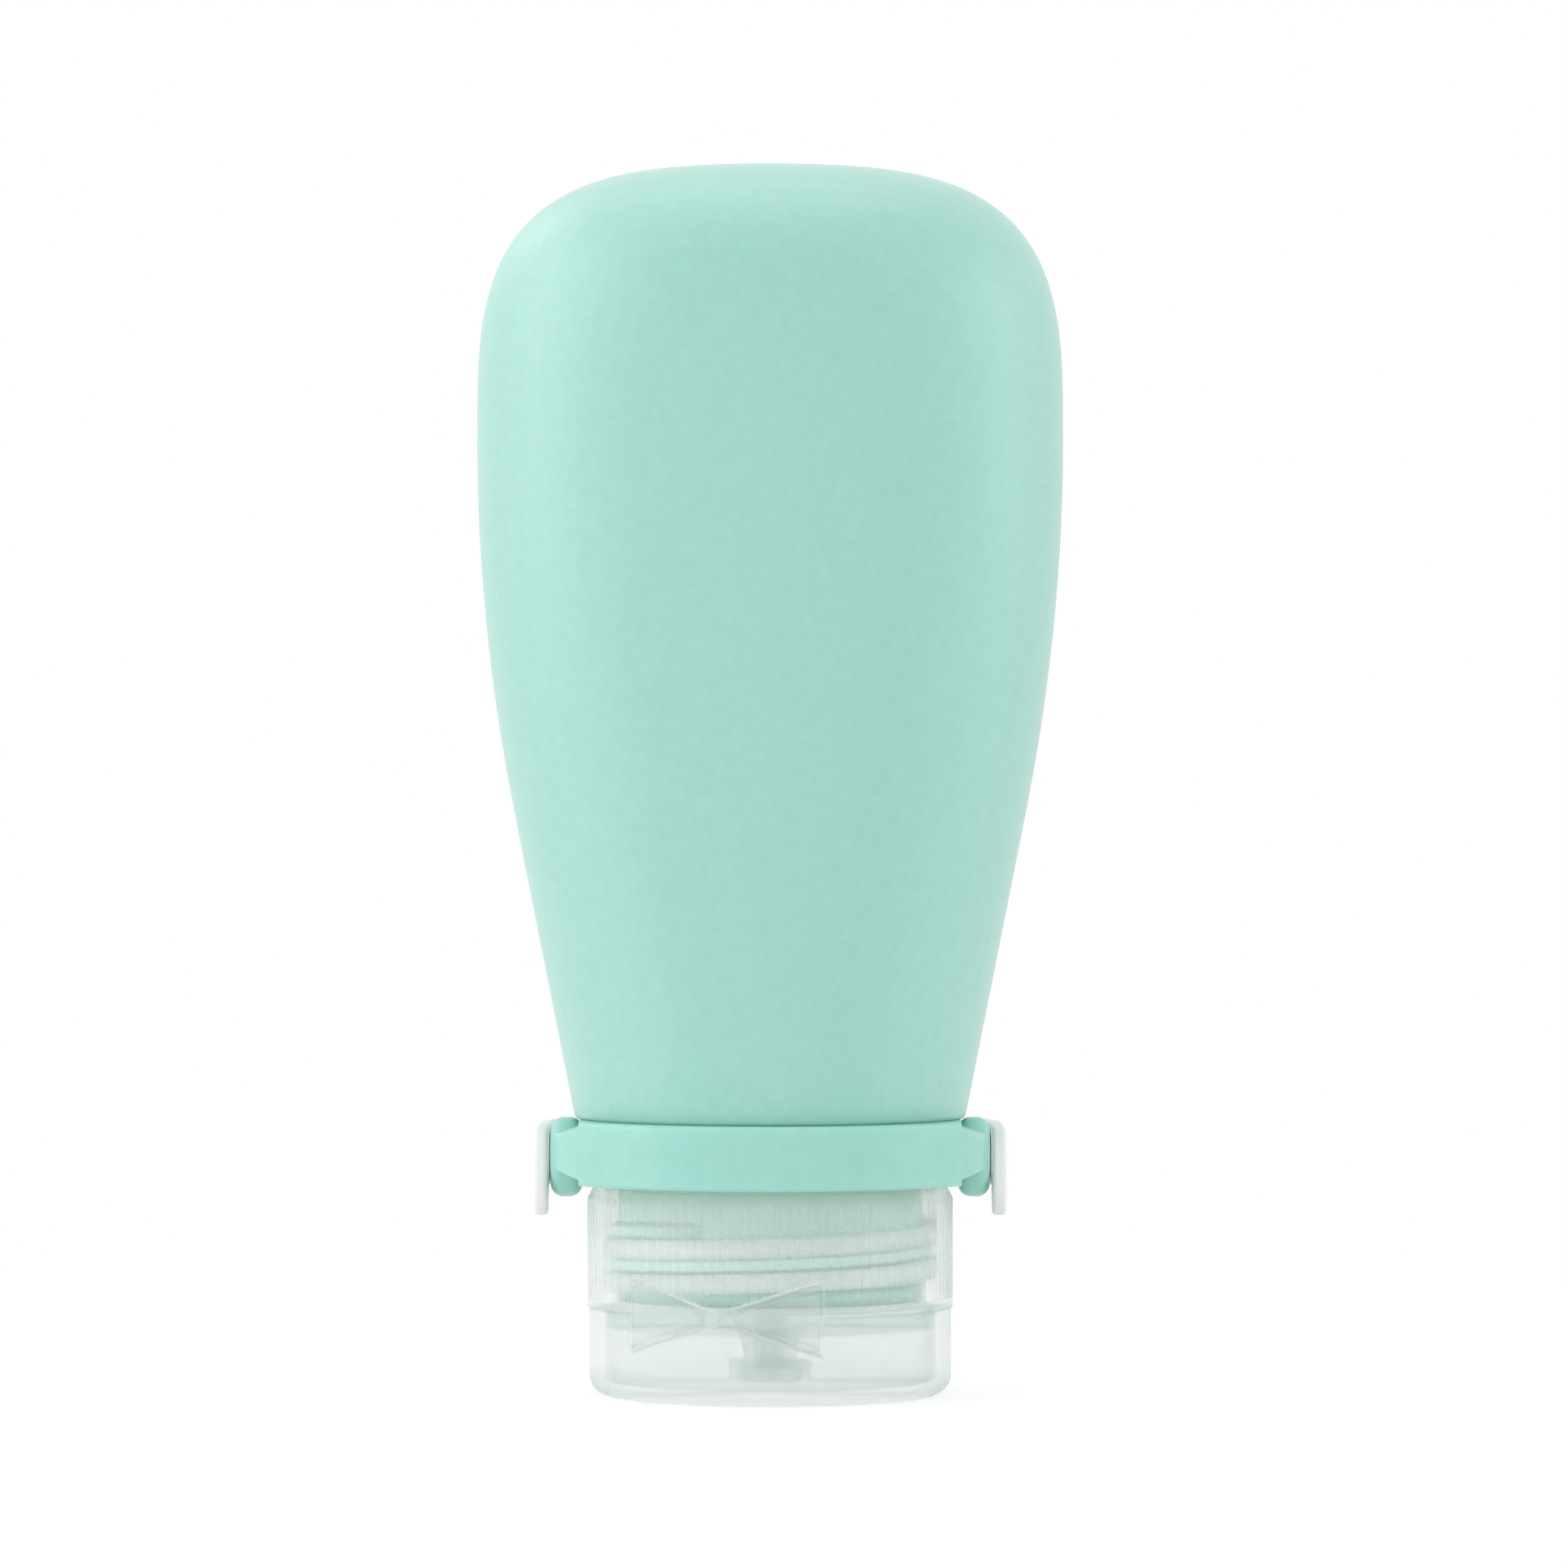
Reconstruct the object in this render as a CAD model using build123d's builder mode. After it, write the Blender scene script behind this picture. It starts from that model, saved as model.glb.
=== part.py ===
from build123d import *
import os
from math import cos, hypot, radians, sin, sqrt

# Travel squeeze bottle, standing upside down on its closed flip lid.
# Millimetres. The origin is the centre of the lid's flat outer face, which the bottle stands on.
# +Z is up, X is the bottle's width, and the front faces -Y.

os.makedirs("parts", exist_ok=True)

# Gaps between pieces
fit_gap = 0.1
parting_gap = 0.15
pin_gap = 0.06
hub_gap = 0.1
overrun = 1.0
edge_match = 0.05

# Flip lid
lid_height = 8.1
lid_wall = 1.5
lid_floor = 1.3
lid_corner = 2.0
lid_step = 0.15
lid_inner_corner = 0.8
thumb_width = 8.0
thumb_reach = 1.3
thumb_thickness = 1.6
thumb_corner = 0.5
stopper_radius = 1.2
stopper_tip_radius = 0.85
stopper_entry = 1.5
socket_clearance = 0.75
socket_wall = 0.9
socket_overlap = 0.8

# Screw cap
cap_radius = 17.1
skirt_wall = 1.6
skirt_height = 11.25
rim_chamfer_in = 0.5
rim_chamfer_down = 1.1
deck_thickness = 1.9
spigot_drop = 1.85
spigot_gap = 0.2
orifice_radius = 1.5
nozzle_tip_radius = 2.2
nozzle_base_radius = 3.0
nozzle_length = 4.0
rib_count = 120
rib_groove_depth = 0.22
rib_inset_low = 1.0
rib_inset_high = 0.7
washer_step_gap = 0.4
valve_wall = 1.0
valve_wall_height = 3.0

# Butterfly hinge between lid and cap
hinge_side_angle = 16.7
hinge_half_angle = 33.2
hinge_end_height = 3.55
hinge_apex_height = 0.45
hinge_waist_round = 5.9
hinge_waist_width = 1.5
plate_end_height = 2.88
plate_thickness = 0.5
plate_edge_gap = 0.15
plate_end_gap = 0.4
plate_back_gap = 0.15

# No-drip valve and the ring that holds it
valve_radius = 5.4
valve_flange = 1.4
valve_thickness = 0.9
valve_skin = 0.5
valve_crown = 2.4
valve_rise = 0.8
slit_length = 4.0
slit_width = 0.15
retainer_width = 1.5
retainer_height = 1.4
retainer_chamfer = 0.4

# Sealing washer, neck and threaded collar
washer_thickness = 0.7
washer_width = 4.1
lip_thickness = 1.6
thread_space = 1.3
tube_wall = 1.4
neck_wall = 1.7
insert_wall = 1.0
insert_setback = 0.3
insert_flange = 2.2
insert_flange_thickness = 1.2
insert_corner = 0.3
collar_gap = 0.5
collar_radius = 20.5
collar_height = 5.9
collar_wall = 1.5
collar_web = 1.6
collar_edge = 0.4
collar_shoulder_step = 2.8
collar_shoulder_drop = 0.6
collar_shoulder_slope = 0.32
boss_radius = 3.72
boss_depth = 2.95
boss_edge = 1.2
boss_proud = 0.05
pivot_rise = 2.25

# Hanging loop
loop_side_gap = 0.25
loop_thickness = 1.3
loop_half_width = 2.8
loop_tab = 5.47
loop_clearance = 0.5
loop_edge = 0.4
hub_radius = 2.6
pin_radius = 1.25
pin_depth = 1.9
pin_end_gap = 0.2

# Silicone bottle
bottle_height = 89.1
bottle_half_width = 27.45
bottle_half_depth = 19.0
bottle_wall = 2.0
bottle_heel = 0.8
widest_height = 63.6
taper_height = 28.7
heel_step = 5.56
crown_power = 3.3
flank_count = 6
crown_height_shares = (0.3, 0.52, 0.7, 0.83, 0.92, 0.97, 0.992, 0.999)

# Levels, from the lid's outer face up
cap_bottom = lid_height + parting_gap
cap_top = cap_bottom + skirt_height
deck_low = cap_bottom - spigot_drop
deck_high = deck_low + deck_thickness
nozzle_tip = deck_low - nozzle_length
lip_low = deck_high + washer_thickness
lip_high = lip_low + lip_thickness
collar_low = cap_top + collar_gap
collar_high = collar_low + collar_height
pivot_height = collar_low + pivot_rise
bottle_top = collar_high + bottle_height
widest_level = collar_high + widest_height
taper_level = collar_high + taper_height
bottle_floor = collar_high + bottle_wall

# Radii, from the cap inwards
lid_radius = cap_radius - lid_step
lid_bore = lid_radius - lid_wall
spigot_radius = lid_bore - spigot_gap
thread_bore = cap_radius - skirt_wall
tube_radius = thread_bore - thread_space
seat_bore = tube_radius + washer_step_gap
collar_bore = tube_radius - tube_wall
collar_shoulder = collar_radius - collar_shoulder_step
neck_radius = collar_bore - fit_gap
neck_bore = neck_radius - neck_wall
insert_radius = neck_bore - fit_gap
mouth_radius = insert_radius - insert_wall
valve_bore = valve_radius + fit_gap


def half_section(*points):
    """A closed outline of (radius, height) points, to be turned about the bottle's axis."""
    with BuildSketch(Plane.XZ) as outline:
        with BuildLine():
            Polyline(*points, close=True)
        make_face()
    return outline.sketch


def flank_half_width(height):
    """Half the bottle's width below its widest level: a straight taper that a parabola carries on."""
    bow_height = widest_level - taper_level
    draw_in = bottle_half_width - neck_radius - heel_step
    bow = draw_in / (bow_height * (bow_height + 2 * taper_height))
    if height >= taper_level:
        return bottle_half_width - bow * (widest_level - height) ** 2
    taper_slope = 2 * bow * bow_height
    return bottle_half_width - bow * bow_height**2 - taper_slope * (taper_level - height)


def flank_half_depth(height):
    """Half the bottle's depth below its widest level, round at the collar."""
    share_down = (widest_level - height) / (widest_level - collar_high)
    shoulder = flank_half_width(collar_high)
    return bottle_half_depth - (bottle_half_depth - shoulder) * share_down**2


def bottle_section(height, inset):
    """Half width and half depth of the bottle at a height, drawn in by an inset."""
    if height <= widest_level:
        return flank_half_width(height) - inset, flank_half_depth(height) - inset
    rise_share = (height - widest_level) / (bottle_top - inset - widest_level)
    width_share = (1 - rise_share**crown_power) ** (1 / crown_power)
    half_width = (bottle_half_width - inset) * width_share
    half_depth = (bottle_half_depth - inset) * width_share
    return half_width, half_depth


def bottle_levels(low, inset):
    """Heights of the ellipses that the bottle's wall is lofted through."""
    flank = [low + (widest_level - low) * step / flank_count for step in range(flank_count + 1)]
    crown = bottle_top - inset - widest_level
    return flank + [widest_level + crown * share for share in crown_height_shares]


def bottle_ellipses(low, inset):
    """The ellipses that the bottle's outer form, or its hollow, is lofted through."""
    sections = []
    for height in bottle_levels(low, inset):
        with BuildSketch(Plane.XY.offset(height)) as section:
            Ellipse(*bottle_section(height, inset))
        sections.append(section.sketch)
    return sections


def side_plane(side, distance, height):
    """A plane across X at a distance to one side, facing outwards."""
    return Plane(origin=(side * distance, 0, height), x_dir=(0, 1, 0), z_dir=(side, 0, 0))


# The bottle: a soft shell whose neck passes through the collar and turns out as a sealing lip
with BuildPart() as bottle_body:
    loft(bottle_ellipses(collar_high, 0))
    fillet(bottle_body.faces().sort_by(Axis.Z)[0].edges(), radius=bottle_heel)
    profile = half_section(
        (neck_bore, lip_low),
        (tube_radius, lip_low),
        (tube_radius, lip_high),
        (neck_radius, lip_high),
        (neck_radius, bottle_floor),
        (neck_bore, bottle_floor),
    )
    revolve(profile, axis=Axis.Z)
    loft(bottle_ellipses(bottle_floor, bottle_wall), mode=Mode.SUBTRACT)
    with BuildSketch(Plane.XY.offset(lip_low)):
        Circle(neck_bore)
    extrude(amount=bottle_floor - lip_low + overrun, mode=Mode.SUBTRACT)

# The collar: a hollow ring over the threaded tube, lower at its sides, where two pivot bosses stand out
with BuildPart() as threaded_collar:
    band_bore = collar_radius - collar_wall
    web_low = collar_high - collar_web
    profile = half_section(
        (collar_bore, lip_high),
        (tube_radius, lip_high),
        (tube_radius, web_low),
        (band_bore, web_low),
        (band_bore, collar_low),
        (collar_radius, collar_low),
        (collar_radius, collar_high),
        (collar_bore, collar_high),
    )
    revolve(profile, axis=Axis.Z)
    band_edges = threaded_collar.edges().filter_by(GeomType.CIRCLE)
    band_edges = band_edges.filter_by(lambda edge: abs(edge.radius - collar_radius) < edge_match)
    fillet(band_edges, radius=collar_edge)
    with BuildSketch(Plane.XZ.offset(-collar_radius)):
        shoulder_end = collar_radius + overrun
        shoulder_fall = collar_shoulder_drop + (shoulder_end - collar_shoulder) * collar_shoulder_slope
        for side in (-1, 1):
            for edge, way in ((collar_high, -1), (collar_low, 1)):
                with BuildLine():
                    Polyline(
                        (side * collar_shoulder, edge - way * overrun),
                        (side * collar_shoulder, edge + way * collar_shoulder_drop),
                        (side * shoulder_end, edge + way * shoulder_fall),
                        (side * shoulder_end, edge - way * overrun),
                        close=True,
                    )
                make_face()
    extrude(amount=2 * collar_radius, mode=Mode.SUBTRACT)
    boss_face = collar_radius + boss_proud
    for side in (-1, 1):
        with BuildSketch(side_plane(side, boss_face - boss_depth, pivot_height)):
            Circle(boss_radius)
        boss = extrude(amount=boss_depth, mode=Mode.PRIVATE)
        boss = boss.fillet(boss_edge, boss.edges().filter_by(GeomType.CIRCLE))
        add(boss)
        with BuildSketch(side_plane(side, boss_face, pivot_height)):
            Circle(pin_radius + pin_gap)
        extrude(amount=-pin_depth - pin_end_gap, mode=Mode.SUBTRACT)

# The rigid ring inside the soft neck, which keeps the neck against the collar
with BuildPart() as neck_insert:
    flange_radius = insert_radius + insert_flange
    flange_top = bottle_floor + insert_flange_thickness
    profile = half_section(
        (mouth_radius, lip_low + insert_setback),
        (insert_radius, lip_low + insert_setback),
        (insert_radius, bottle_floor),
        (flange_radius, bottle_floor),
        (flange_radius, flange_top),
        (mouth_radius, flange_top),
    )
    revolve(profile, axis=Axis.Z)
    insert_rims = neck_insert.faces().sort_by(Axis.Z)
    fillet(insert_rims[-1].edges() + insert_rims[0].edges(), radius=insert_corner)

# The hanging loop: a flat strap bent to a U, with a finger tab and a pin at each pivot
with BuildPart() as hanging_loop:
    strap_inner = boss_face + loop_side_gap
    strap_outer = strap_inner + loop_thickness
    arm_length = pivot_height - sqrt(strap_inner**2 - lid_radius**2) + loop_clearance
    with BuildSketch(Plane.XY.offset(pivot_height - loop_tab)):
        for half, mode in ((strap_outer, Mode.ADD), (strap_inner, Mode.SUBTRACT)):
            with Locations((0, arm_length / 2 - loop_half_width)):
                Rectangle(2 * half, arm_length + 2 * loop_half_width, mode=mode)
            with Locations((0, arm_length)):
                Circle(half, mode=mode)
    extrude(amount=loop_tab + loop_half_width)
    with BuildSketch(side_plane(1, 0, pivot_height)):
        strap_reach = arm_length + strap_outer + overrun
        Circle(loop_half_width)
        with Locations((strap_reach / 2, 0)):
            Rectangle(strap_reach, 2 * loop_half_width)
        with Locations((0, loop_half_width - loop_tab)):
            Circle(loop_half_width)
        with Locations((0, (loop_half_width - loop_tab) / 2)):
            Rectangle(2 * loop_half_width, loop_tab - loop_half_width)
    extrude(amount=strap_outer + overrun, both=True, mode=Mode.INTERSECT)
    fillet(hanging_loop.edges(), radius=loop_edge)
    for side in (-1, 1):
        with BuildSketch(side_plane(side, strap_inner, pivot_height)):
            Circle(hub_radius)
        extrude(amount=hub_gap - loop_side_gap)
        with BuildSketch(side_plane(side, strap_inner, pivot_height)):
            Circle(pin_radius)
        extrude(amount=-loop_side_gap - pin_depth)

# The butterfly hinge's own frame: u along the hinge line, v up, and the outward normal
hinge_level = lid_height + parting_gap / 2
outward = (-sin(radians(hinge_side_angle)), -cos(radians(hinge_side_angle)), 0)
along = (-outward[1], outward[0], 0)
hinge_span = cap_radius * sin(radians(hinge_half_angle))
hinge_inset = cap_radius * (1 - cos(radians(hinge_half_angle)))
facet_slope = hinge_inset / hinge_span
facet_stretch = hypot(1, facet_slope)
wing_slope = plate_end_height / hinge_span
hinge_centre = (cap_radius * outward[0], cap_radius * outward[1], hinge_level)
hinge_front = Plane(origin=hinge_centre, x_dir=along, z_dir=outward)
hinge_plan = Plane(origin=hinge_centre, x_dir=along, z_dir=(0, 0, 1))
wing_tall = hinge_end_height + overrun
wing_deep = hinge_inset + plate_thickness + overrun

# The space cut out of cap and lid for the hinge's plates, shaped like a bow tie
with BuildPart() as hinge_pocket:
    pocket_depth = (plate_thickness + plate_back_gap) * facet_stretch
    with BuildSketch(hinge_plan.offset(-wing_tall)):
        with BuildLine():
            Polyline(
                (-hinge_span, -overrun),
                (hinge_span, -overrun),
                (hinge_span, hinge_inset + pocket_depth),
                (0, pocket_depth),
                (-hinge_span, hinge_inset + pocket_depth),
                close=True,
            )
        make_face()
    extrude(amount=2 * wing_tall)
    with BuildSketch(hinge_front.offset(overrun)) as bow_tie:
        with BuildLine():
            Polyline(
                (-hinge_span, -hinge_end_height),
                (0, -hinge_apex_height),
                (hinge_span, -hinge_end_height),
                (hinge_span, hinge_end_height),
                (0, hinge_apex_height),
                (-hinge_span, hinge_end_height),
                close=True,
            )
        make_face()
        waist = bow_tie.vertices().sort_by(lambda corner: abs(corner.X))[:2]
        fillet(waist, radius=hinge_waist_round)
    extrude(amount=-overrun - wing_deep, mode=Mode.INTERSECT)


def hinge_plate(side):
    """One stiff plate of the hinge: flat, wedge-shaped and narrow at the hinge's waist."""
    near = hinge_waist_width
    far = hinge_span - plate_end_gap
    with BuildPart() as plate:
        thick = plate_thickness * facet_stretch
        with BuildSketch(hinge_plan.offset(-wing_tall)):
            with BuildLine():
                Polyline(
                    (side * near, facet_slope * near),
                    (side * far, facet_slope * far),
                    (side * far, facet_slope * far + thick),
                    (side * near, facet_slope * near + thick),
                    close=True,
                )
            make_face()
        extrude(amount=2 * wing_tall)
        near_rise = wing_slope * near - plate_edge_gap
        far_rise = wing_slope * far - plate_edge_gap
        with BuildSketch(hinge_front.offset(overrun)):
            with BuildLine():
                Polyline(
                    (side * near, -near_rise),
                    (side * far, -far_rise),
                    (side * far, far_rise),
                    (side * near, near_rise),
                    close=True,
                )
            make_face()
        extrude(amount=-overrun - wing_deep, mode=Mode.INTERSECT)
    return plate.part


# The screw cap: ribbed skirt, deck with the nozzle, a wall round the valve, and the hinge's half
with BuildPart() as screw_cap:
    valve_wall_radius = valve_bore + valve_wall
    valve_wall_top = deck_high + valve_wall_height
    profile = half_section(
        (orifice_radius, nozzle_tip),
        (nozzle_tip_radius, nozzle_tip),
        (nozzle_base_radius, deck_low),
        (spigot_radius, deck_low),
        (spigot_radius, cap_bottom),
        (cap_radius, cap_bottom),
        (cap_radius, cap_top - rim_chamfer_down),
        (cap_radius - rim_chamfer_in, cap_top),
        (thread_bore, cap_top),
        (thread_bore, lip_high + washer_step_gap),
        (seat_bore, lip_high + washer_step_gap),
        (seat_bore, deck_high),
        (valve_wall_radius, deck_high),
        (valve_wall_radius, valve_wall_top),
        (valve_bore, valve_wall_top),
        (valve_bore, deck_high),
        (orifice_radius, deck_high),
    )
    revolve(profile, axis=Axis.Z)
    rib_low = cap_bottom + rib_inset_low
    rib_high = cap_top - rib_inset_high
    with BuildSketch(Plane.XY.offset(rib_low)):
        with PolarLocations(cap_radius, rib_count):
            RegularPolygon(radius=rib_groove_depth, side_count=4)
    extrude(amount=rib_high - rib_low, mode=Mode.SUBTRACT)
    add(hinge_pocket.part, mode=Mode.SUBTRACT)

# The flip lid: a shallow cup with a stopper for the nozzle, a socket round it and a thumb lip
with BuildPart() as flip_lid:
    stopper_top = nozzle_tip + stopper_entry
    socket_bore = nozzle_tip_radius + socket_clearance
    socket_radius = socket_bore + socket_wall
    socket_top = nozzle_tip + socket_overlap
    profile = half_section(
        (0, 0),
        (lid_radius, 0),
        (lid_radius, lid_height),
        (lid_bore, lid_height),
        (lid_bore, lid_floor),
        (socket_radius, lid_floor),
        (socket_radius, socket_top),
        (socket_bore, socket_top),
        (socket_bore, lid_floor),
        (stopper_radius, lid_floor),
        (stopper_tip_radius, stopper_top),
        (0, stopper_top),
    )
    revolve(profile, axis=Axis.Z)
    rings = flip_lid.edges().filter_by(GeomType.CIRCLE)
    fillet(rings.filter_by(lambda edge: edge.center().Z < edge_match), radius=lid_corner)
    inner_corner = flip_lid.edges().filter_by(GeomType.CIRCLE)
    inner_corner = inner_corner.filter_by(lambda edge: abs(edge.radius - lid_bore) < edge_match)
    fillet(inner_corner.sort_by(Axis.Z)[0], radius=lid_inner_corner)
    thumb_middle = (lid_radius + lid_bore) / 2
    thumb_plan = Plane(
        origin=(-thumb_middle * outward[0], -thumb_middle * outward[1], lid_height - thumb_thickness),
        x_dir=along,
        z_dir=(0, 0, 1),
    )
    with BuildSketch(thumb_plan):
        thumb_depth = lid_wall / 2 + thumb_reach
        with Locations((0, thumb_depth / 2)):
            Rectangle(thumb_width, thumb_depth)
    thumb_lip = extrude(amount=thumb_thickness, mode=Mode.PRIVATE)
    thumb_end = thumb_lip.faces().sort_by(Axis(thumb_plan.origin, thumb_plan.y_dir))[-1]
    thumb_lip = thumb_lip.fillet(thumb_corner, thumb_end.edges())
    add(thumb_lip)
    add(hinge_pocket.part, mode=Mode.SUBTRACT)

# The washer that the neck's lip is pressed on by the cap
with BuildPart() as seal_washer:
    washer_radius = tube_radius
    profile = half_section(
        (washer_radius - washer_width, deck_high),
        (washer_radius, deck_high),
        (washer_radius, lip_low),
        (washer_radius - washer_width, lip_low),
    )
    revolve(profile, axis=Axis.Z)

# The no-drip valve: a raised soft skin with a cross slit, in a thicker flange
with BuildPart() as drip_valve:
    flange_bore = valve_radius - valve_flange
    profile = half_section(
        (0, deck_high + valve_rise),
        (valve_crown, deck_high + valve_rise),
        (flange_bore, deck_high),
        (valve_radius, deck_high),
        (valve_radius, deck_high + valve_thickness),
        (flange_bore, deck_high + valve_thickness),
        (flange_bore, deck_high + valve_skin),
        (valve_crown, deck_high + valve_rise + valve_skin),
        (0, deck_high + valve_rise + valve_skin),
    )
    revolve(profile, axis=Axis.Z)
    with BuildSketch(Plane.XY.offset(deck_high)):
        Rectangle(slit_length, slit_width)
        Rectangle(slit_width, slit_length)
    extrude(amount=valve_rise + valve_skin + overrun, mode=Mode.SUBTRACT)

# The snap-in ring that holds the valve's flange on the deck
with BuildPart() as valve_retainer:
    retainer_low = deck_high + valve_thickness
    with BuildSketch(Plane.XY.offset(retainer_low)):
        Circle(valve_radius)
        Circle(valve_radius - retainer_width, mode=Mode.SUBTRACT)
    extrude(amount=retainer_height)
    chamfer(valve_retainer.faces().sort_by(Axis.Z)[-1].edges(), length=retainer_chamfer)

pieces = {
    "bottle_body": bottle_body.part,
    "threaded_collar": threaded_collar.part,
    "neck_insert": neck_insert.part,
    "hanging_loop": hanging_loop.part,
    "screw_cap": screw_cap.part,
    "flip_lid": flip_lid.part,
    "hinge_plate_left": hinge_plate(-1),
    "hinge_plate_right": hinge_plate(1),
    "seal_washer": seal_washer.part,
    "drip_valve": drip_valve.part,
    "valve_retainer": valve_retainer.part,
}

for label, piece in pieces.items():
    piece.label = label
    export_step(piece, f"parts/{label}.step")
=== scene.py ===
import math

import bpy
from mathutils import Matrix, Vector


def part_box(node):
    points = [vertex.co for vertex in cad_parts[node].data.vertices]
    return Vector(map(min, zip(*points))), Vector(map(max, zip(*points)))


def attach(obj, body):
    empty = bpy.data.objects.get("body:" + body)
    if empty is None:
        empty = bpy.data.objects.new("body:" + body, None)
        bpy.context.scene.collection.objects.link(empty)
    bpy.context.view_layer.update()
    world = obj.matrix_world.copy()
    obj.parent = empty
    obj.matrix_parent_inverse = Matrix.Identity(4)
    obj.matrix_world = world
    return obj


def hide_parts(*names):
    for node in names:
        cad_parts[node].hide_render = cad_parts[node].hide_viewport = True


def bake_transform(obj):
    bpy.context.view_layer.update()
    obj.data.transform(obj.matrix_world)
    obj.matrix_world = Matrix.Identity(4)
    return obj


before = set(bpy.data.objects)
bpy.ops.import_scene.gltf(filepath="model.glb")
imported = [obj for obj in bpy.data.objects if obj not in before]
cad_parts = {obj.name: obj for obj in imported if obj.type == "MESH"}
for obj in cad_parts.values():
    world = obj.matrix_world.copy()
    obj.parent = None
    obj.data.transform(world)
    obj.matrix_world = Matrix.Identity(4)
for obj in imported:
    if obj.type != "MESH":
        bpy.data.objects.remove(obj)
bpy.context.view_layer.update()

# The photograph, in pixels
photo_size = 1932
photo_axis_x = 949
focal_pixels = 9300

# The view, in metres where the name gives no other unit
pixels_per_metre = 13150
camera_level = 0.05716
sensor_width_mm = 36

# Sizes that the frame has
cap_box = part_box("screw_cap")
lid_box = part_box("flip_lid")
washer_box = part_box("seal_washer")
insert_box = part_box("neck_insert")
cap_radius = cap_box[1].x
tube_radius = washer_box[1].x

# Bottle, in metres
wall = 0.002
insert_flange_thickness = 0.0012
collar_top = insert_box[1].z - insert_flange_thickness - wall
bottle_top = 0.115
half_width = 0.02745
half_depth = 0.019
widest_height = 0.0636
taper_height = 0.0287
widest_level = collar_top + widest_height
taper_level = collar_top + taper_height
heel_step = 0.00556
heel_radius = 0.0004
crown_power = 3.3
crown_steps = 48

# Neck and sealing lip
tube_wall = 0.0014
neck_gap = 0.0001
neck_wall = 0.0017
lip_thickness = 0.0016
lip_low = washer_box[1].z
lip_high = lip_low + lip_thickness
neck_radius = tube_radius - tube_wall - neck_gap
neck_bore = neck_radius - neck_wall

# Screw threads of collar and cap
thread_pitch = 0.0032
thread_depth = 0.0009
thread_overlap = 0.0001
thread_space = 0.0013
thread_bore = tube_radius + thread_space
thread_front_level = 0.0130
lip_clearance = 0.0007
collar_thread_low = lip_high + lip_clearance
collar_thread_high = 0.0160
collar_thread_widths = (0.0017, 0.0008)
cap_thread_low = 0.0103
cap_thread_high = 0.0158
cap_thread_widths = (0.0018, 0.0011)

# The butterfly hinge between cap and lid
cap_wall_low = 0.00825
hinge_side = math.radians(16.7)
hinge_half = math.radians(33.2)
hinge_outward = Vector((-math.sin(hinge_side), -math.cos(hinge_side), 0))
hinge_along = Vector((-hinge_outward.y, hinge_outward.x, 0))
hinge_level = (lid_box[1].z + cap_wall_low) / 2
hinge_centre = hinge_outward * cap_radius + Vector((0, 0, hinge_level))
hinge_span = cap_radius * math.sin(hinge_half)
facet_slope = (1 - math.cos(hinge_half)) / math.sin(hinge_half)
plate_end = 0.00288
plate_slope = plate_end / hinge_span
pocket_end = 0.00355
pocket_apex = 0.00045
waist_round = 0.0059

# The hinge's films, the beads along its pocket and the strap at its waist
film_depth = 0.0001
film_thickness = 0.0002
film_on_plate = 0.0002
film_overlap = 0.00003
film_end_gap = 0.0003
film_end = hinge_span - film_end_gap
film_steps = 24
bead_inside = 0.00018
bead_outside = 0.00012
bead_thickness = 0.0003
waist_reach = 0.0014
waist_overlap = 0.0001

# Materials, with levels and radii where a colour starts and is full
polypropylene_ior = 1.49
grain_depth = 0.0002
# The collar's tube is painted paler below these levels and inside these radii: painted light that lifts the
# shade under the collar's band
tube_painted_light_levels = (0.0203, 0.0200)
tube_painted_light_radii = (0.0172, 0.0168)
lid_floor_levels = (0.0034, 0.0012)
cap_deck_levels = (0.0088, 0.0080)
clear_tint = (0.985, 0.995, 0.99, 1)
shadow_tint = (0.99, 0.997, 0.994, 1)
light_through = 0.15
mottle_share = 1.02

# Frosted layers that a ray may pass, one behind the other
frosted_layers = 32

# Floor and surroundings
white = (1, 1, 1, 1)
floor_half_size = 3.0
floor_bounce = 0.9
floor_shadow = 0.35
floor_light = 0.75
shadow_reach = (0.05, 0.2)
world_light = 0.65


def srgb(red, green, blue):
    """A colour written as 0 to 255, as the linear values that Blender takes."""
    def linear(value):
        value /= 255
        return value / 12.92 if value <= 0.04045 else ((value + 0.055) / 1.055) ** 2.4
    return (linear(red), linear(green), linear(blue), 1)


def grey(value):
    """A grey of a linear value."""
    return (value, value, value, 1)


def new_object(name, vertices, faces, smooth=True):
    """A mesh object in the scene."""
    mesh = bpy.data.meshes.new(name)
    mesh.from_pydata(vertices, [], faces)
    mesh.validate()
    mesh.update()
    for polygon in mesh.polygons:
        polygon.use_smooth = smooth
    piece = bpy.data.objects.new(name, mesh)
    bpy.context.scene.collection.objects.link(piece)
    return piece


def rows_to_faces(rows, segments):
    """Quads between neighbouring rows of points that each go once round."""
    faces = []
    for row in range(rows - 1):
        low = row * segments
        high = low + segments
        for step in range(segments):
            turn = (step + 1) % segments
            faces.append((low + step, low + turn, high + turn, high + step))
    return faces


# Shader nodes

def new_material(name):
    """An empty node material, its tree and its output."""
    material = bpy.data.materials.new(name)
    material.use_nodes = True
    tree = material.node_tree
    tree.nodes.clear()
    output = tree.nodes.new("ShaderNodeOutputMaterial")
    return material, tree, output


def node(tree, kind, **values):
    """A shader node with its settings and sockets set by name."""
    made = tree.nodes.new(kind)
    for key, value in values.items():
        if hasattr(made, key):
            setattr(made, key, value)
        else:
            made.inputs[key.replace("_", " ")].default_value = value
    return made


def object_place(tree):
    """The shaded point's place in the object's own frame."""
    return node(tree, "ShaderNodeTexCoord").outputs["Object"]


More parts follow.
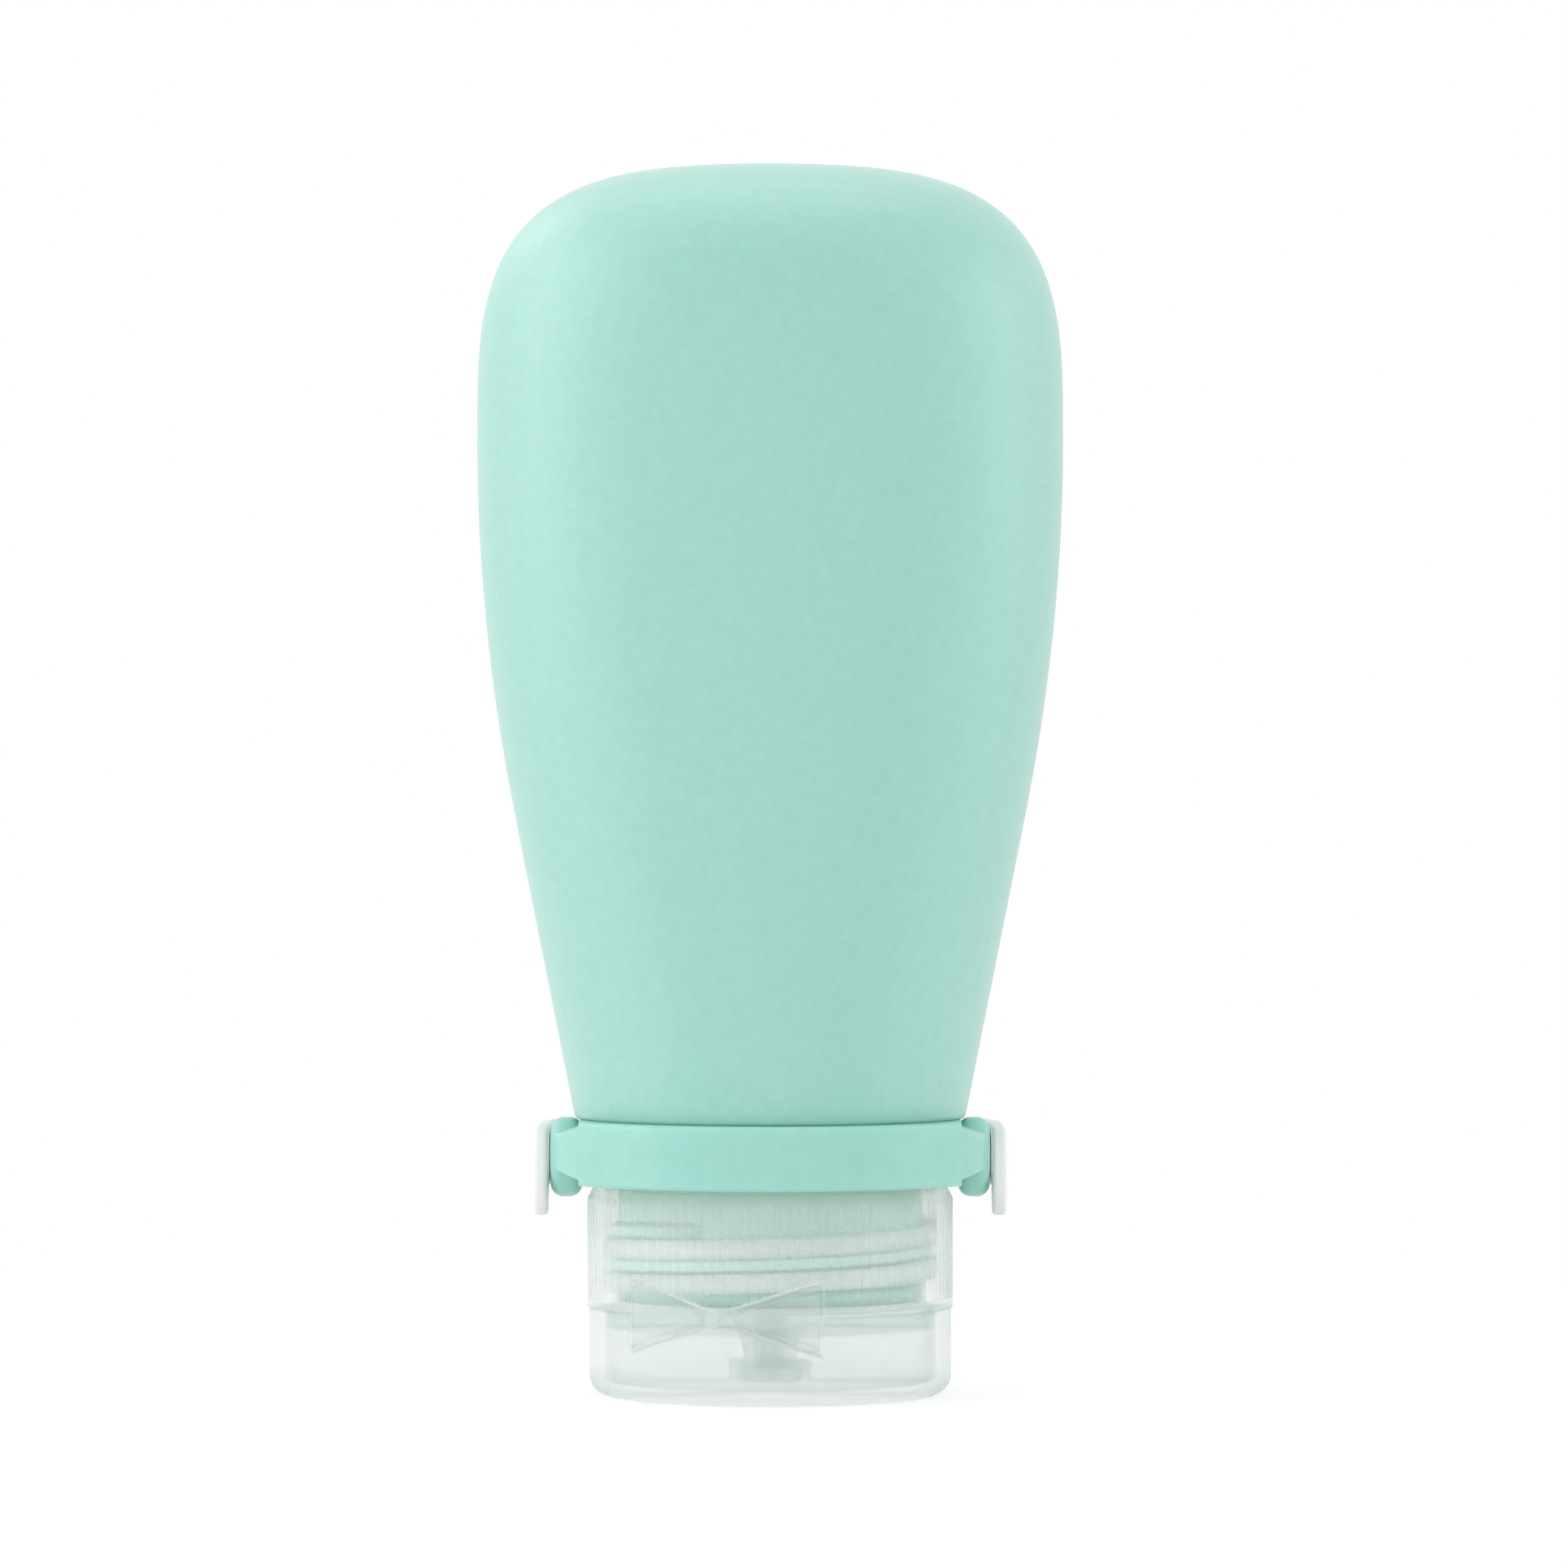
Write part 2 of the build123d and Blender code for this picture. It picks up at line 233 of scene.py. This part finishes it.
def object_height(tree):
    """The shaded point's height above the foot."""
    split = node(tree, "ShaderNodeSeparateXYZ")
    tree.links.new(object_place(tree), split.inputs["Vector"])
    return split.outputs["Z"]


def vector_math(tree, operation, vector):
    """A vector node that works on one vector."""
    made = node(tree, "ShaderNodeVectorMath", operation=operation)
    tree.links.new(vector, made.inputs[0])
    return made


def from_middle_line(tree):
    """The level way from the object's middle line to the shaded point."""
    level = vector_math(tree, "MULTIPLY", object_place(tree))
    level.inputs[1].default_value = (1, 1, 0)
    return level.outputs["Vector"]


def value_math(tree, operation, first, second):
    """The result of one operation on two values."""
    made = node(tree, "ShaderNodeMath", operation=operation)
    tree.links.new(first, made.inputs[0])
    tree.links.new(second, made.inputs[1])
    return made.outputs["Value"]


def ramp(tree, value, start, end, low=0.0, high=1.0, kind="LINEAR"):
    """A value that goes from low to high while another one goes from start to end."""
    made = node(tree, "ShaderNodeMapRange", interpolation_type=kind, From_Min=start, From_Max=end,
                To_Min=low, To_Max=high)
    tree.links.new(value, made.inputs["Value"])
    return made.outputs["Result"]


def mix_colours(tree, factor, first, second):
    """The first colour where the factor is 0, and the second where it is 1."""
    mix = node(tree, "ShaderNodeMix", data_type="RGBA")
    colour_sockets = [socket for socket in mix.inputs if socket.type == "RGBA"]
    tree.links.new(factor, mix.inputs["Factor"])
    tree.links.new(first, colour_sockets[0])
    if isinstance(second, tuple):
        colour_sockets[1].default_value = second
    else:
        tree.links.new(second, colour_sockets[1])
    return next(socket for socket in mix.outputs if socket.type == "RGBA")


def mix_shaders(tree, factor, first, second):
    """The first shader where the factor is 0, and the second where it is 1."""
    mix = node(tree, "ShaderNodeMixShader")
    if isinstance(factor, float):
        mix.inputs["Fac"].default_value = factor
    else:
        tree.links.new(factor, mix.inputs["Fac"])
    tree.links.new(first, mix.inputs[1])
    tree.links.new(second, mix.inputs[2])
    return mix.outputs["Shader"]


def mottled(tree, low, high, scale):
    """A colour that varies softly between two near tones."""
    noise = node(tree, "ShaderNodeTexNoise", Scale=scale, Detail=5.0, Roughness=0.55)
    tones = node(tree, "ShaderNodeValToRGB")
    tones.color_ramp.elements[0].position = 0.3
    tones.color_ramp.elements[0].color = low
    tones.color_ramp.elements[1].position = 0.7
    tones.color_ramp.elements[1].color = high
    tree.links.new(object_place(tree), noise.inputs["Vector"])
    tree.links.new(noise.outputs["Fac"], tones.inputs["Fac"])
    return tones.outputs["Color"]


def satin(tree, colour, grain_scale, grain_strength, **values):
    """A satin surface of plastic or rubber with fine grain, its other values set by name."""
    shader = node(tree, "ShaderNodeBsdfPrincipled", **values)
    noise = node(tree, "ShaderNodeTexNoise", Scale=grain_scale, Detail=6.0, Roughness=0.6)
    bump = node(tree, "ShaderNodeBump", Strength=grain_strength, Distance=grain_depth)
    tree.links.new(object_place(tree), noise.inputs["Vector"])
    tree.links.new(noise.outputs["Fac"], bump.inputs["Height"])
    tree.links.new(colour, shader.inputs["Base Color"])
    tree.links.new(bump.outputs["Normal"], shader.inputs["Normal"])
    return shader.outputs["BSDF"]


def seen_directly(tree):
    """A factor of 1 where the eye looks straight, through a clear wall or by a mirror, and 0 elsewhere."""
    path = node(tree, "ShaderNodeLightPath")
    total = path.outputs["Is Camera Ray"]
    for kind in ("Is Glossy Ray", "Is Transmission Ray"):
        total = value_math(tree, "MAXIMUM", total, path.outputs[kind])
    return total


# Materials of the object

def silicone_material():
    """Satin mint silicone: light passes a little way in, and the surface has a soft sheen."""
    material, tree, output = new_material("silicone_mint")
    colour = mottled(tree, srgb(152, 210, 197), srgb(158, 215, 202), scale=900)
    surface = satin(tree, colour, grain_scale=2600, grain_strength=0.12, Roughness=0.45, IOR=1.41,
                    Subsurface_Weight=0.35, Subsurface_Radius=(0.6, 1.0, 0.9), Subsurface_Scale=0.004,
                    Coat_Weight=0.8, Coat_Roughness=0.45, Coat_IOR=1.7,
                    Sheen_Weight=0.15, Sheen_Roughness=0.6)
    tree.links.new(surface, output.inputs["Surface"])
    return material


def collar_material():
    """Satin tinted polypropylene; the tube below the collar's band is painted paler, painted light against
    the shade that the band casts on it.
    """
    material, tree, output = new_material("collar_polypropylene")
    band = mottled(tree, srgb(156, 214, 202), srgb(162, 219, 207), scale=500)
    # Painted light: the tube's paler colour lifts the shade under the collar's band
    tube = mottled(tree, srgb(202, 235, 221), srgb(208, 239, 226), scale=500)
    is_low = ramp(tree, object_height(tree), *tube_painted_light_levels)
    radius = vector_math(tree, "LENGTH", from_middle_line(tree)).outputs["Value"]
    is_near = ramp(tree, radius, *tube_painted_light_radii)
    painted_light_share = value_math(tree, "MULTIPLY", is_low, is_near)
    colour = mix_colours(tree, painted_light_share, band, tube)
    surface = satin(tree, colour, grain_scale=1800, grain_strength=0.08, Roughness=0.38,
                    IOR=polypropylene_ior, Subsurface_Weight=0.3, Subsurface_Radius=(0.7, 1.0, 0.95),
                    Subsurface_Scale=0.003)
    tree.links.new(surface, output.inputs["Surface"])
    return material


def frosted_material(name, colour, clear_facing, clear_edge, roughness, floor_colour=None,
                     floor_levels=None):
    """Milky polypropylene: part of the light goes straight through, and the milk spreads the rest.

    Less goes through where the round wall turns away from the eye, whatever its ribs do. A floor colour tints
    the thick plastic below the first floor level, fully below the second. Light passes on its way to what
    lies inside.
    """
    material, tree, output = new_material(name)
    paler = tuple(min(1, part * mottle_share) for part in colour)
    shade = mottled(tree, colour, paler, scale=350)
    if floor_colour:
        is_floor = ramp(tree, object_height(tree), *floor_levels, kind="SMOOTHSTEP")
        shade = mix_colours(tree, is_floor, shade, floor_colour)
    surface = satin(tree, shade, grain_scale=1500, grain_strength=0.06, Roughness=roughness,
                    IOR=polypropylene_ior, Subsurface_Weight=1.0, Subsurface_Radius=(1.0, 1.0, 1.0),
                    Subsurface_Scale=0.002)
    through = node(tree, "ShaderNodeBsdfTranslucent")
    tree.links.new(shade, through.inputs["Color"])
    milk = mix_shaders(tree, light_through, surface, through.outputs["BSDF"])
    outward = vector_math(tree, "NORMALIZE", from_middle_line(tree)).outputs["Vector"]
    slant = node(tree, "ShaderNodeLayerWeight", Blend=0.5)
    tree.links.new(outward, slant.inputs["Normal"])
    clear_share = ramp(tree, slant.outputs["Facing"], start=0.5, end=1.0, low=clear_facing, high=clear_edge)
    clear = node(tree, "ShaderNodeBsdfTransparent", Color=clear_tint)
    wall_shader = mix_shaders(tree, clear_share, milk, clear.outputs["BSDF"])
    passing = node(tree, "ShaderNodeBsdfTransparent", Color=shadow_tint)
    path = node(tree, "ShaderNodeLightPath")
    lit = mix_shaders(tree, path.outputs["Is Shadow Ray"], wall_shader, passing.outputs["BSDF"])
    tree.links.new(lit, output.inputs["Surface"])
    return material


def plain_material(name, low, high, roughness, subsurface):
    """Satin moulded plastic or rubber with faint colour variation and grain."""
    material, tree, output = new_material(name)
    colour = mottled(tree, low, high, scale=600)
    surface = satin(tree, colour, grain_scale=1600, grain_strength=0.1, Roughness=roughness, IOR=1.47,
                    Subsurface_Weight=subsurface, Subsurface_Radius=(1.0, 0.95, 0.9),
                    Subsurface_Scale=0.002)
    tree.links.new(surface, output.inputs["Surface"])
    return material


# Camera, stage and light

def add_camera():
    """The photograph's camera: level, far off, at half the bottle's height."""
    camera_data = bpy.data.cameras.new("camera")
    camera_data.sensor_width = sensor_width_mm
    camera_data.lens = sensor_width_mm * focal_pixels / photo_size
    camera_data.clip_start = 0.01
    camera_data.clip_end = 20
    camera = bpy.data.objects.new("camera", camera_data)
    bpy.context.scene.collection.objects.link(camera)
    distance = focal_pixels / pixels_per_metre
    side = (photo_size / 2 - photo_axis_x) / pixels_per_metre
    camera.location = (side, -distance, camera_level)
    camera.rotation_euler = (math.pi / 2, 0, 0)
    bpy.context.scene.camera = camera


def add_floor():
    """A wide pale floor that reads as white to the camera and keeps the object's shadow."""
    size = floor_half_size
    floor = new_object("floor", [(-size, -size, 0), (size, -size, 0), (size, size, 0), (-size, size, 0)],
                       [(0, 1, 2, 3)])
    material, tree, output = new_material("floor_white")
    pale = node(tree, "ShaderNodeBsdfDiffuse", Color=grey(floor_bounce))
    shadowed = node(tree, "ShaderNodeBsdfDiffuse", Color=grey(floor_shadow))
    glow = node(tree, "ShaderNodeEmission", Color=white, Strength=1 - floor_shadow * floor_light)
    near = node(tree, "ShaderNodeAddShader")
    tree.links.new(shadowed.outputs["BSDF"], near.inputs[0])
    tree.links.new(glow.outputs["Emission"], near.inputs[1])
    far = node(tree, "ShaderNodeEmission", Color=white, Strength=1.0)
    reach = vector_math(tree, "LENGTH", object_place(tree)).outputs["Value"]
    fade = ramp(tree, reach, *shadow_reach, kind="SMOOTHSTEP")
    shown = mix_shaders(tree, fade, near.outputs["Shader"], far.outputs["Emission"])
    surface = mix_shaders(tree, seen_directly(tree), pale.outputs["BSDF"], shown)
    tree.links.new(surface, output.inputs["Surface"])
    floor.data.materials.append(material)


def add_world():
    """White surroundings, a little dimmer for the object than for the eye."""
    world = bpy.data.worlds.new("world")
    bpy.context.scene.world = world
    world.use_nodes = True
    tree = world.node_tree
    tree.nodes.clear()
    output = tree.nodes.new("ShaderNodeOutputWorld")
    seen = node(tree, "ShaderNodeBackground", Color=white, Strength=1.0)
    light = node(tree, "ShaderNodeBackground", Color=white, Strength=world_light)
    surface = mix_shaders(tree, seen_directly(tree), light.outputs["Background"],
                          seen.outputs["Background"])
    tree.links.new(surface, output.inputs["Surface"])


def add_area_light(name, place, target, size, power, tint=(1, 1, 1)):
    """A soft box of a width and a height, aimed at a point."""
    data = bpy.data.lights.new(name, "AREA")
    data.shape = "RECTANGLE"
    data.size, data.size_y = size
    data.energy = power
    data.color = tint
    light = bpy.data.objects.new(name, data)
    bpy.context.scene.collection.objects.link(light)
    light.location = place
    light.rotation_euler = (Vector(target) - Vector(place)).to_track_quat("-Z", "Y").to_euler()


def add_lights():
    """Soft boxes left, right and above, a low fill for the cap and a small lamp behind."""
    middle = (0, 0, 0.06)
    add_area_light("soft_box_left", (-0.7, -0.15, 0.25), middle, size=(0.5, 0.8), power=2.42,
                   tint=(1, 0.96, 0.98))
    add_area_light("soft_box_right", (0.75, -0.1, 0.2), middle, size=(0.4, 0.7), power=1.45,
                   tint=(0.94, 1, 0.99))
    add_area_light("soft_box_top", (0, 0, 0.9), middle, size=(0.7, 0.7), power=1.4)
    add_area_light("fill_low_front", (0, -0.9, 0.04), (0, 0, 0.02), size=(0.9, 0.2), power=1.2)
    add_area_light("spot_back_left", (-0.45, 0.35, 0.5), (0, 0, 0.1), size=(0.25, 0.25), power=0.35)


# Bottle

def flank_half_width(height):
    """Half the bottle's width below its widest level: a straight taper that a parabola carries on."""
    bow_height = widest_height - taper_height
    draw_in = half_width - neck_radius - heel_step
    bow = draw_in / (bow_height * (bow_height + 2 * taper_height))
    if height >= taper_level:
        return half_width - bow * (widest_level - height) ** 2
    return half_width - bow * bow_height**2 - 2 * bow * bow_height * (taper_level - height)


def bottle_section(height, inset):
    """Half width and half depth of the bottle at a height, drawn in by an inset."""
    if height <= widest_level:
        share_down = (widest_level - height) / (widest_level - collar_top)
        shoulder = flank_half_width(collar_top)
        depth = half_depth - (half_depth - shoulder) * share_down**2
        return flank_half_width(height) - inset, depth - inset
    rise = min(1, (height - widest_level) / (bottle_top - inset - widest_level))
    share = (1 - rise**crown_power) ** (1 / crown_power)
    return (half_width - inset) * share, (half_depth - inset) * share


def round_ring(radius, height):
    """A ring of the neck: two equal half widths and a height."""
    return radius, radius, height


def wall_ring(height, inset):
    """A ring of the oval wall: half width, half depth and height."""
    return *bottle_section(height, inset), height


def crown_rings(steps, inset):
    """Rings from the widest level up to just below the top, closer together towards it."""
    rings = []
    for step in range(1, steps):
        rise = math.sin(math.pi / 2 * step / steps) ** (2 / crown_power)
        rings.append(wall_ring(widest_level + (bottle_top - inset - widest_level) * rise, inset))
    return rings


def inner_rings():
    """The hollow's rings, from its crown down to the neck."""
    steps = 16
    floor_level = collar_top + wall
    rings = crown_rings(crown_steps // 2, wall)[::-1]
    for step in range(steps, -1, -1):
        rings.append(wall_ring(floor_level + (widest_level - floor_level) * step / steps, wall))
    rings.append(round_ring(neck_bore, floor_level))
    return rings


def neck_rings():
    """The neck's rings: down its bore, round the sealing lip and up its outside."""
    return [
        round_ring(neck_bore, lip_low),
        round_ring(tube_radius, lip_low),
        round_ring(tube_radius, lip_high),
        round_ring(neck_radius, lip_high),
        round_ring(neck_radius, collar_top),
    ]


def outer_rings():
    """The outside's rings, from the rounded heel over the flank up to the crown."""
    heel_steps = 6
    flank_steps = 60
    rings = []
    for step in range(heel_steps + 1):
        angle = math.pi / 2 * step / heel_steps
        height = collar_top + heel_radius * (1 - math.cos(angle))
        rings.append(wall_ring(height, heel_radius * (1 - math.sin(angle))))
    flank_low = collar_top + heel_radius
    for step in range(1, flank_steps + 1):
        rings.append(wall_ring(flank_low + (widest_level - flank_low) * step / flank_steps, 0))
    return rings + crown_rings(crown_steps, 0)


def add_bottle(material):
    """The silicone shell: outer wall, neck and lip, and the hollow inside, as one closed skin."""
    segments = 160
    rings = inner_rings() + neck_rings() + outer_rings()
    vertices = []
    for width, depth, height in rings:
        for step in range(segments):
            angle = 2 * math.pi * step / segments
            vertices.append((width * math.cos(angle), depth * math.sin(angle), height))
    faces = rows_to_faces(len(rings), segments)
    outer_pole = len(vertices)
    inner_pole = outer_pole + 1
    vertices.append((0, 0, bottle_top))
    vertices.append((0, 0, bottle_top - wall))
    last = (len(rings) - 1) * segments
    for step in range(segments):
        turn = (step + 1) % segments
        faces.append((last + step, last + turn, outer_pole))
        faces.append((turn, step, inner_pole))
    bottle = new_object("bottle_silicone", vertices, faces)
    bottle.data.materials.append(material)
    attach(bottle, "bottle")
    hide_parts("bottle_body")


# Screw threads

def trapezoid_thread(name, root, crest, low, high, front_level, widths):
    """A right-hand thread between two radii, wider at its root, that fades out at both ends.

    It, or its next turn, passes the bottle's front at the front level.
    """
    steps_per_turn = 72
    fade_steps = 10
    sides = 6
    root_width, crest_width = widths
    sunk_root = root - math.copysign(thread_overlap, crest - root)
    side_level = front_level + thread_pitch / 4
    count = int((high - low) / thread_pitch * steps_per_turn)
    vertices = []
    for step in range(count + 1):
        rise = low + thread_pitch * step / steps_per_turn
        angle = 2 * math.pi * (rise - side_level) / thread_pitch
        share = min(1, step / fade_steps, (count - step) / fade_steps)
        top = root + (crest - root) * share
        for radius, width in ((sunk_root, root_width), (root, root_width), (top, crest_width),
                              (top, -crest_width), (root, -root_width), (sunk_root, -root_width)):
            vertices.append((radius * math.cos(angle), radius * math.sin(angle), rise + width / 2))
    faces = rows_to_faces(count + 1, sides)
    faces.append(tuple(range(sides)))
    faces.append(tuple(reversed(range(count * sides, (count + 1) * sides))))
    return new_object(name, vertices, faces, smooth=False)


def add_threads(collar_plastic, cap_plastic):
    """The collar's outer thread and the cap's inner one, which runs half a turn behind it."""
    outer = trapezoid_thread("collar_thread", tube_radius, tube_radius + thread_depth, collar_thread_low,
                             collar_thread_high, thread_front_level, collar_thread_widths)
    outer.data.materials.append(collar_plastic)
    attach(outer, "bottle")
    inner = trapezoid_thread("cap_thread", thread_bore, thread_bore - thread_depth, cap_thread_low,
                             cap_thread_high, thread_front_level + thread_pitch / 2, cap_thread_widths)
    inner.data.materials.append(cap_plastic)
    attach(inner, "cap")


# Living hinge

def facet_point(along, up, depth=0.0):
    """A point on the hinge plates' outer faces, by its place along the hinge line, up, and in."""
    return (hinge_centre + hinge_along * along + Vector((0, 0, up))
            - hinge_outward * (facet_slope * abs(along) + depth))


def plate_edge(along):
    """Height of the plate's edge over the hinge line."""
    return plate_slope * along


def pocket_edge(along):
    """Height of the hinge pocket's edge over the hinge line, rounded at the waist."""
    slope = (pocket_end - pocket_apex) / hinge_span
    turn = math.atan(slope)
    if along >= waist_round * math.sin(turn):
        return pocket_apex + slope * along
    centre = pocket_apex + waist_round / math.cos(turn)
    return centre - math.sqrt(waist_round**2 - along**2)


def film_strip(name, side, places, way, edges, thickness=film_thickness):
    """A thin strip of plastic on the hinge's facets, above its line or, where the way is -1, below it.

    Each of its two edges is a height that depends on the place, and an offset from that.
    """
    vertices = []
    for along in places:
        low, high = sorted(way * (height(abs(along)) + offset) for height, offset in edges)
        for up, depth in ((low, film_depth), (high, film_depth), (high, film_depth + thickness),
                          (low, film_depth + thickness)):
            vertices.append(facet_point(side * along, up, depth))
    sides = 4
    faces = rows_to_faces(len(places), sides)
    last = (len(places) - 1) * sides
    faces.append((0, 1, 2, 3))
    faces.append((last + 3, last + 2, last + 1, last))
    return new_object(name, vertices, faces, smooth=False)


def add_films(material):
    """The living hinge's thin films: each fold has one strip on the plate and one on the cap or the lid."""
    places = [waist_reach + (film_end - waist_reach) * step / film_steps for step in range(film_steps + 1)]
    on_plate = ((plate_edge, -film_on_plate), (plate_edge, film_overlap))
    off_plate = ((plate_edge, -film_overlap), (pocket_edge, -bead_inside))
    for side, word, plate in ((-1, "left", "plate_left"), (1, "right", "plate_right")):
        for way, body in ((1, "cap"), (-1, "lid")):
            inner = film_strip(f"hinge_film_{word}_{body}_inner", side, places, way, on_plate)
            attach(inner, plate)
            outer = film_strip(f"hinge_film_{word}_{body}_outer", side, places, way, off_plate)
            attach(outer, body)
            for strip in (inner, outer):
                strip.data.materials.append(material)


def add_beads(material):
    """The bead along the pocket's edge, on the cap and on the lid."""
    places = [film_end * step / film_steps for step in range(-film_steps, film_steps + 1)]
    edges = ((pocket_edge, -bead_inside), (pocket_edge, bead_outside))
    for way, body in ((1, "cap"), (-1, "lid")):
        bead = film_strip(f"hinge_edge_{body}", 1, places, way, edges, bead_thickness)
        bead.data.materials.append(material)
        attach(bead, body)


def add_waist_film(material):
    """The strap at the hinge's waist, between cap and lid."""
    across = 12
    levels = 16
    width = across + 1
    vertices = []
    for layer in (film_depth, film_depth + film_thickness):
        for row in range(levels + 1):
            for step in range(width):
                along = waist_reach * (2 * step / across - 1)
                top = pocket_edge(abs(along)) + waist_overlap
                vertices.append(facet_point(along, top * (2 * row / levels - 1), layer))
    faces = []
    sheet = width * (levels + 1)
    for row in range(levels):
        for step in range(across):
            low = row * width + step
            faces.append((low, low + 1, low + width + 1, low + width))
            low += sheet
            faces.append((low + width, low + width + 1, low + 1, low))
    edge = list(range(width))
    edge += [row * width + across for row in range(1, levels + 1)]
    edge += [levels * width + step for step in range(across - 1, -1, -1)]
    edge += [row * width for row in range(levels - 1, 0, -1)]
    for start, end in zip(edge, edge[1:] + edge[:1]):
        faces.append((end, start, start + sheet, end + sheet))
    film = new_object("hinge_film_waist", vertices, faces)
    film.data.materials.append(material)
    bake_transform(film)


add_camera()
add_floor()
add_world()
add_lights()

silicone = silicone_material()
collar_plastic = collar_material()
cap_plastic = frosted_material("cap_polypropylene", srgb(247, 251, 249), clear_facing=0.8, clear_edge=0.42,
                               roughness=0.22, floor_colour=srgb(206, 232, 222),
                               floor_levels=cap_deck_levels)
lid_plastic = frosted_material("lid_polypropylene", srgb(241, 246, 243), clear_facing=0.8, clear_edge=0.42,
                               roughness=0.22, floor_colour=srgb(216, 232, 225),
                               floor_levels=lid_floor_levels)
thread_plastic = frosted_material("cap_thread_polypropylene", srgb(249, 252, 250), clear_facing=0.4,
                                  clear_edge=0.3, roughness=0.22)
plate_plastic = frosted_material("hinge_plate_polypropylene", srgb(250, 252, 251), clear_facing=0.88,
                                 clear_edge=0.5, roughness=0.2)
film_plastic = frosted_material("hinge_film_polypropylene", srgb(250, 252, 251), clear_facing=0.82,
                                clear_edge=0.4, roughness=0.2)
edge_plastic = frosted_material("hinge_edge_polypropylene", srgb(252, 254, 253), clear_facing=0.2,
                                clear_edge=0.1, roughness=0.2)
loop_plastic = plain_material("loop_nylon", srgb(243, 242, 238), srgb(247, 246, 242), roughness=0.4,
                              subsurface=0.3)
insert_plastic = plain_material("insert_polypropylene", srgb(232, 236, 234), srgb(238, 241, 239),
                                roughness=0.45, subsurface=0.2)
seal_rubber = plain_material("seal_silicone", srgb(240, 247, 243), srgb(245, 250, 247), roughness=0.5,
                             subsurface=0.5)

add_bottle(silicone)
add_threads(collar_plastic, thread_plastic)
add_films(film_plastic)
add_beads(edge_plastic)
add_waist_film(film_plastic)

node_materials = {
    "threaded_collar": collar_plastic,
    "neck_insert": insert_plastic,
    "hanging_loop": loop_plastic,
    "screw_cap": cap_plastic,
    "flip_lid": lid_plastic,
    "hinge_plate_left": plate_plastic,
    "hinge_plate_right": plate_plastic,
    "seal_washer": seal_rubber,
    "drip_valve": seal_rubber,
    "valve_retainer": insert_plastic,
}
for name, material in node_materials.items():
    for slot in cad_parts[name].material_slots:
        slot.material = material

bpy.context.scene.view_settings.view_transform = "Standard"
bpy.context.scene.cycles.transparent_max_bounces = frosted_layers
